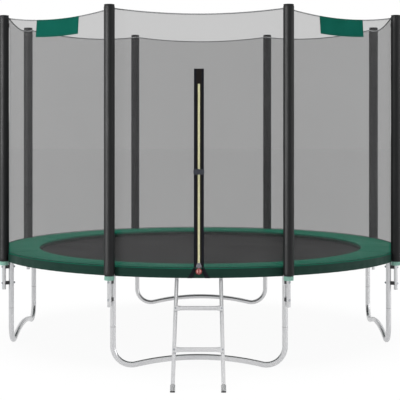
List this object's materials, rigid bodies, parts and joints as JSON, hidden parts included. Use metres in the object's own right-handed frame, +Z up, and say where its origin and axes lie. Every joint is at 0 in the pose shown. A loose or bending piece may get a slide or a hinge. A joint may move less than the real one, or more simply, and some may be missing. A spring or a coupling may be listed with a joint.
{
  "type": "trampoline",
  "caption": "Round garden trampoline with W-shaped tube legs, sprung mat, green edge pad, net enclosure with zip door on padded poles, and hook-on ladder.",
  "frame": {"origin": "on the ground, in the middle of the overall footprint, ladder included", "axes": "+Z up, -Y towards the door and the ladder, +X to the right when seen from the ladder side"},
  "size_m": [3.0716, 3.6876, 2.432],
  "materials": {
    "galvanised_tube": "galvanised, satin",
    "ladder_steel": "galvanised, satin",
    "sleeve_cover": "woven polyester cover, slight sheen",
    "cap_cover": "moulded, satin",
    "cuff_fabric": "woven polyester",
    "black_plastic": "moulded, matte",
    "zinc_hardware": "bright zinc",
    "spring_steel": "bright zinc",
    "mat_weave": "dense black polypropylene weave",
    "mat_webbing": "polypropylene webbing",
    "pad_cover": "green PVC-coated fabric",
    "net_mesh": "knitted mesh",
    "net_cord": "braided cord in a hem",
    "door_webbing": "woven zip tape",
    "zip_coil": "moulded teeth",
    "zip_metal": "nickel plated, satin",
    "toggle_plastic": "moulded",
    "buckle_plastic": "moulded",
    "patch_cloth": "plain woven cloth",
    "foot_rubber": "matte"
  },
  "bodies": {
    "root": {"rail_1": "galvanised_tube", "rail_2": "galvanised_tube", "rail_3": "galvanised_tube", "rail_4": "galvanised_tube", "rail_5": "galvanised_tube", "rail_6": "galvanised_tube", "rail_7": "galvanised_tube", "rail_8": "galvanised_tube", "leg_upright_1": "galvanised_tube", "leg_upright_2": "galvanised_tube", "leg_upright_3": "galvanised_tube", "leg_upright_4": "galvanised_tube", "leg_upright_5": "galvanised_tube", "leg_upright_6": "galvanised_tube", "leg_upright_7": "galvanised_tube", "leg_upright_8": "galvanised_tube", "leg_base_front": "galvanised_tube", "leg_base_right": "galvanised_tube", "leg_base_back": "galvanised_tube", "leg_base_left": "galvanised_tube", "lower_poles": "galvanised_tube", "upper_poles": "galvanised_tube", "foam_sleeve_1": "sleeve_cover", "foam_sleeve_2": "sleeve_cover", "foam_sleeve_3": "sleeve_cover", "foam_sleeve_4": "sleeve_cover", "foam_sleeve_5": "sleeve_cover", "foam_sleeve_6": "sleeve_cover", "foam_sleeve_7": "sleeve_cover", "foam_sleeve_8": "sleeve_cover", "pole_caps": "cap_cover", "sleeve_cuffs": "cuff_fabric", "pole_spacers": "black_plastic", "pole_fasteners": "zinc_hardware", "springs": "spring_steel", "pad_ties": "mat_webbing", "net_ties": "mat_webbing", "spring_pad": "pad_cover", "pad_skirt": "pad_cover", "safety_net": "net_mesh", "net_top_hem": "net_cord", "net_bottom_cord": "net_cord", "door_band": "door_webbing", "door_tapes": "door_webbing", "zip_teeth": "zip_coil", "buckle_socket": "buckle_plastic", "name_patches": "patch_cloth"},
    "mat": {"jumping_mat": "mat_weave", "mat_edge_band": "mat_webbing", "mat_rings": "zinc_hardware"},
    "ladder": {"ladder_stile_left": "ladder_steel", "ladder_stile_right": "ladder_steel", "ladder_rung_upper": "ladder_steel", "ladder_rung_lower": "ladder_steel", "ladder_feet": "foot_rubber", "ladder_bolts": "zinc_hardware"},
    "slider": {"zip_slider": "zip_metal"},
    "pull": {"zip_pull_tab": "zip_metal", "zip_toggle": "toggle_plastic"},
    "buckle_plug": {"buckle_plug": "buckle_plastic"}
  },
  "joints": [
    {"name": "mat_bounce", "type": "slide", "parent": "root", "child": "mat", "axis": [0, 0, -1], "range_m": [0, 0.18], "stiffness_N_per_m": 3700, "springref_m": -0.07, "deforming": ["springs"]},
    {"name": "ladder_swing", "type": "hinge", "parent": "root", "child": "ladder", "pos_m": [0, -1.19108, 0.64], "axis": [-1, 0, 0], "range_deg": [0, 7]},
    {"name": "zip_slide", "type": "slide", "parent": "root", "child": "slider", "axis": [0, 0.069, 0.9976], "range_m": [0, 0.55]},
    {"name": "pull_swing", "type": "hinge", "parent": "slider", "child": "pull", "pos_m": [0, -1.22562, 0.70176], "axis": [-1, 0, 0], "range_deg": [0, 110]},
    {"name": "buckle_release", "type": "slide", "parent": "root", "child": "buckle_plug", "axis": [1, 0, 0], "range_m": [0, 0.03]}
  ]
}
